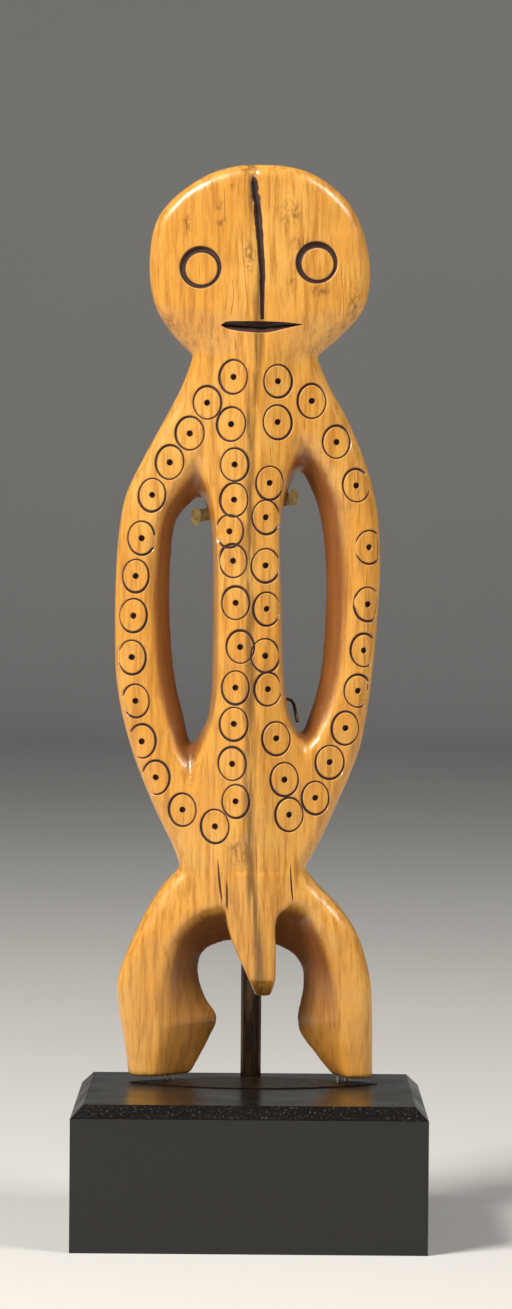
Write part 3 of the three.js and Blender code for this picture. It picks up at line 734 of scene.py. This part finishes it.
class Finish:
    """A material whose nodes are added by short calls, each giving an output to use in the next."""

    def __init__(self, name):
        self.material = bpy.data.materials.new(name)
        self.material.use_nodes = True
        self.tree = self.material.node_tree
        self.shader = self.tree.nodes["Principled BSDF"]
        self.place = self.node("ShaderNodeTexCoord").outputs["Object"]

    def node(self, kind, **settings):
        made = self.tree.nodes.new(kind)
        for name, value in settings.items():
            setattr(made, name, value)
        return made

    def put(self, value, socket):
        if isinstance(value, bpy.types.NodeSocket):
            self.tree.links.new(value, socket)
        elif isinstance(value, (tuple, list)) and len(value) == 3 and socket.type == "RGBA":
            socket.default_value = (*value, 1)
        else:
            socket.default_value = value

    def set(self, **inputs):
        for name, value in inputs.items():
            self.put(value, self.shader.inputs[name.replace("_", " ")])

    def scaled(self, per_mm):
        """The place on the object, in steps of so many per millimetre along each axis."""
        node = self.node("ShaderNodeVectorMath", operation="MULTIPLY")
        self.put(self.place, node.inputs[0])
        self.put([share / MM for share in per_mm], node.inputs[1])
        return node.outputs[0]

    def noise(self, per_mm, detail=4.0, roughness=0.55, distortion=0.0):
        node = self.node("ShaderNodeTexNoise")
        self.put(self.scaled(per_mm), node.inputs["Vector"])
        self.put(1.0, node.inputs["Scale"])
        self.put(detail, node.inputs["Detail"])
        self.put(roughness, node.inputs["Roughness"])
        self.put(distortion, node.inputs["Distortion"])
        return node.outputs[0]

    def math(self, operation, a, b=0.0):
        node = self.node("ShaderNodeMath", operation=operation)
        self.put(a, node.inputs[0])
        self.put(b, node.inputs[1])
        return node.outputs[0]

    def times(self, a, b):
        return self.math("MULTIPLY", a, b)

    def between(self, value, low, high):
        """0 below low, 1 above high, and smooth between."""
        node = self.node("ShaderNodeMapRange", interpolation_type="SMOOTHSTEP")
        self.put(value, node.inputs["Value"])
        self.put(low, node.inputs["From Min"])
        self.put(high, node.inputs["From Max"])
        return node.outputs[0]

    def stored(self, name):
        return self.node("ShaderNodeAttribute", attribute_name=name).outputs["Fac"]

    def mix(self, share, a, b, blend_type="MIX"):
        node = self.node("ShaderNodeMix", data_type="RGBA", blend_type=blend_type)
        self.put(share, node.inputs[0])
        self.put(a, node.inputs[6])
        self.put(b, node.inputs[7])
        return node.outputs[2]

    def level(self, share, a, b):
        """A number between a and b."""
        node = self.node("ShaderNodeMix", data_type="FLOAT")
        self.put(share, node.inputs[0])
        self.put(a, node.inputs[2])
        self.put(b, node.inputs[3])
        return node.outputs[0]

    def bump(self, height, distance, strength=1.0):
        node = self.node("ShaderNodeBump")
        self.put(height, node.inputs["Height"])
        self.put(distance, node.inputs["Distance"])
        self.put(strength, node.inputs["Strength"])
        self.put(node.outputs[0], self.shader.inputs["Normal"])


def bone():
    finish = Finish("patinated_bone_with_painted_light")
    broad = finish.noise((0.09, 0.09, 0.05), detail=3)
    grain = finish.noise((1.1, 1.1, 0.09), detail=8, roughness=0.62, distortion=0.3)
    pores = finish.noise((4.2, 4.2, 0.3), detail=5, roughness=0.6)
    flecks = finish.noise((1.6, 1.6, 0.8), detail=5, roughness=0.7)
    colour = finish.mix(finish.between(broad, 0.35, 0.65), (0.66, 0.30, 0.045), (0.70, 0.36, 0.075))
    colour = finish.mix(finish.between(grain, 0.42, 0.68), colour, (0.46, 0.19, 0.025))
    colour = finish.mix(finish.times(finish.between(pores, 0.56, 0.72), 0.45), colour, (0.22, 0.075, 0.012))
    colour = finish.mix(finish.times(finish.between(flecks, 0.66, 0.76), 0.6), colour, (0.16, 0.055, 0.012))
    # Darker along the ridge's groove down the whole front: partly a stain, partly painted shade of the
    # groove.
    ridge = finish.math("ABSOLUTE", finish.math("ADD", finish.stored("beside"), finish.times(grain, 1.2)))
    ridge_stain_and_shade = finish.math("SUBTRACT", 1.0, finish.between(ridge, 0.1, 1.7))
    ridge_stain_and_shade = finish.times(ridge_stain_and_shade, finish.between(grain, 0.3, 0.55))
    colour = finish.mix(finish.times(ridge_stain_and_shade, 0.75), colour, (0.12, 0.06, 0.014))
    stain = finish.times(finish.stored("stain"), finish.between(flecks, 0.42, 0.6))
    colour = finish.mix(finish.times(stain, 0.7), colour, (0.14, 0.055, 0.014))
    # Painted shade on the walls of the openings.
    recess_shade = finish.stored("recess_shade")
    colour = finish.mix(finish.times(recess_shade, 0.85), colour, (0.15, 0.04, 0.014))
    cut = finish.stored("cut")
    # The rims of the cuts are painted pale: partly raw bone bared by the knife, partly a painted highlight
    # of the walls that face the light.
    shallow = finish.math("SUBTRACT", 1.0, finish.between(cut, 0.1, 0.2))
    lip_raw_and_highlight = finish.times(finish.between(cut, 0.02, 0.08), shallow)
    colour = finish.mix(finish.times(lip_raw_and_highlight, 0.45), colour, (0.75, 0.46, 0.24))
    # Painted shade: the floors of the carved lines and pits are painted near black.
    colour = finish.mix(finish.between(cut, 0.12, 0.24), colour, (0.045, 0.014, 0.008))
    finish.set(
        Base_Color=colour,
        Roughness=finish.level(finish.between(cut, 0.1, 0.25), finish.level(grain, 0.22, 0.42), 0.6),
        Coat_Weight=0.3,
        Coat_Roughness=0.12,
        Specular_IOR_Level=0.5,
    )
    height = finish.math("ADD", finish.times(grain, -0.6), finish.times(pores, -0.4))
    finish.bump(height, 0.08 * MM)
    return finish.material


def lacquer():
    finish = Finish("black_lacquer")
    dust = finish.noise((2.6, 2.6, 2.6), detail=6, roughness=0.75)
    broad = finish.noise((0.15, 0.15, 0.15), detail=3)
    split = finish.node("ShaderNodeSeparateXYZ")
    finish.put(finish.place, split.inputs[0])
    top = finish.between(split.outputs[2], block_high.z - 2.3 * MM, block_high.z - 1.9 * MM)
    specks = finish.times(finish.between(dust, 0.56, 0.7), top)
    haze = finish.times(finish.between(broad, 0.3, 0.7), top)
    colour = finish.mix(specks, (0.006, 0.005, 0.0045), (0.11, 0.085, 0.06))
    finish.set(
        Base_Color=colour,
        Roughness=finish.level(specks, finish.level(haze, 0.14, 0.26), 0.6),
        Specular_IOR_Level=0.5,
    )
    finish.bump(dust, 0.05 * MM, 0.4)
    return finish.material


def metal(name, light, dark, roughness, per_mm=(0.8, 0.8, 0.8)):
    finish = Finish(name)
    cloud = finish.noise(per_mm, detail=6, roughness=0.65)
    fine = finish.noise([6 * share for share in per_mm], detail=3)
    colour = finish.mix(finish.between(cloud, 0.4, 0.65), light, dark)
    finish.set(
        Base_Color=colour,
        Metallic=0.95,
        Roughness=finish.level(cloud, roughness, roughness + 0.2),
    )
    finish.bump(fine, 0.02 * MM, 0.5)
    return finish.material


# Studio

CAMERA_PLACE = (0.49 * MM, -713 * MM, 117.3 * MM)
CAMERA_PITCH = math.radians(1.302)
CAMERA_ROLL = math.radians(0.45)
CAMERA_SENSOR = 36
FOCAL_PIXELS = 4082
PICTURE_HEIGHT = 1309


def camera():
    data = bpy.data.cameras.new("camera")
    data.sensor_width = CAMERA_SENSOR
    data.lens = FOCAL_PIXELS / PICTURE_HEIGHT * CAMERA_SENSOR
    data.clip_start = 0.01
    data.clip_end = 50
    eye = bpy.data.objects.new("camera", data)
    eye.matrix_world = (
        Matrix.Translation(Vector(CAMERA_PLACE))
        @ Matrix.Rotation(math.pi / 2 - CAMERA_PITCH, 4, "X")
        @ Matrix.Rotation(CAMERA_ROLL, 4, "Z")
    )
    bpy.context.scene.collection.objects.link(eye)
    bpy.context.scene.camera = eye


def soft_light(name, place, target, size, power, colour):
    data = bpy.data.lights.new(name, "AREA")
    data.shape = "RECTANGLE"
    data.size, data.size_y = size
    data.energy = power
    data.color = colour
    lamp = bpy.data.objects.new(name, data)
    lamp.location = place
    direction = Vector(target) - Vector(place)
    lamp.rotation_euler = direction.to_track_quat("-Z", "Y").to_euler()
    bpy.context.scene.collection.objects.link(lamp)


def backdrop():
    """A pale floor that curves up into a wall, which is far enough off to see the part from behind."""
    front, bend, radius, top, half_width = -4.0, 1.9, 0.5, 2.6, 4.0
    profile = [(front, 0.0), (bend, 0.0)]
    for step in range(1, 17):
        angle = math.pi / 2 * step / 16
        profile.append((bend + radius * math.sin(angle), radius * (1 - math.cos(angle))))
    profile.append((bend + radius, top))
    verts = [(side * half_width, y, z) for y, z in profile for side in (-1, 1)]
    faces = [(2 * i, 2 * i + 1, 2 * i + 3, 2 * i + 2) for i in range(len(profile) - 1)]
    floor = new_object("floor", mesh_from("floor", verts, faces))
    shade_smooth(floor, 60)
    finish = Finish("pale_floor")
    mottle = finish.noise((0.004, 0.004, 0.004), detail=3)
    finish.set(Base_Color=finish.mix(mottle, (0.60, 0.59, 0.57), (0.66, 0.65, 0.63)), Roughness=0.75)
    floor.data.materials.append(finish.material)


def studio():
    camera()
    backdrop()
    middle = (0, 0, 0.1)
    soft_light("key", (-0.55, -0.45, 0.75), middle, (0.3, 0.3), 14, (1, 0.96, 0.9))
    soft_light("second", (0.6, -0.35, 0.7), middle, (0.3, 0.3), 5, (1, 0.96, 0.92))
    world = bpy.data.worlds.new("studio")
    bpy.context.scene.world = world
    world.use_nodes = True
    background = world.node_tree.nodes["Background"]
    background.inputs[0].default_value = (0.8, 0.85, 0.9, 1)
    background.inputs[1].default_value = 0.12
    view = bpy.context.scene.view_settings
    view.view_transform = "Standard"
    view.look = "None"
    view.exposure = 0


def dress(node, material):
    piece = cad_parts[node]
    piece.data.materials.clear()
    piece.data.materials.append(material)


def figure():
    piece = figure_body()
    tree = BVHTree.FromObject(piece, bpy.context.evaluated_depsgraph_get())
    carver = Carver(piece)
    carve_face(carver)
    carve_rings(carver, np.random.default_rng(7))
    carve_cracks(carver)
    carver.cut()
    without_slivers(piece)
    paint(piece, tree)
    shade_smooth(piece, 38)
    piece.data.materials.clear()
    piece.data.materials.append(bone())
    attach(piece, "root")
    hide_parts("figurine")


studio()
figure()
dress("base_block", lacquer())
dark_bronze = metal("dark_bronze", (0.10, 0.065, 0.035), (0.03, 0.02, 0.014), 0.28, (0.5, 0.5, 0.08))
dress("support_rod", dark_bronze)
dress("lower_prong", dark_bronze)
# The foot plate is a guessed dark sheet under the feet, laid where the figure's shadow falls on the block.
dress("foot_plate", dark_bronze)
dress("upper_clip", metal("old_brass", (0.58, 0.42, 0.17), (0.30, 0.18, 0.07), 0.3))
steel = metal("bright_steel", (0.72, 0.70, 0.66), (0.5, 0.48, 0.45), 0.2)
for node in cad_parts:
    if node.startswith("foot_pin"):
        dress(node, steel)
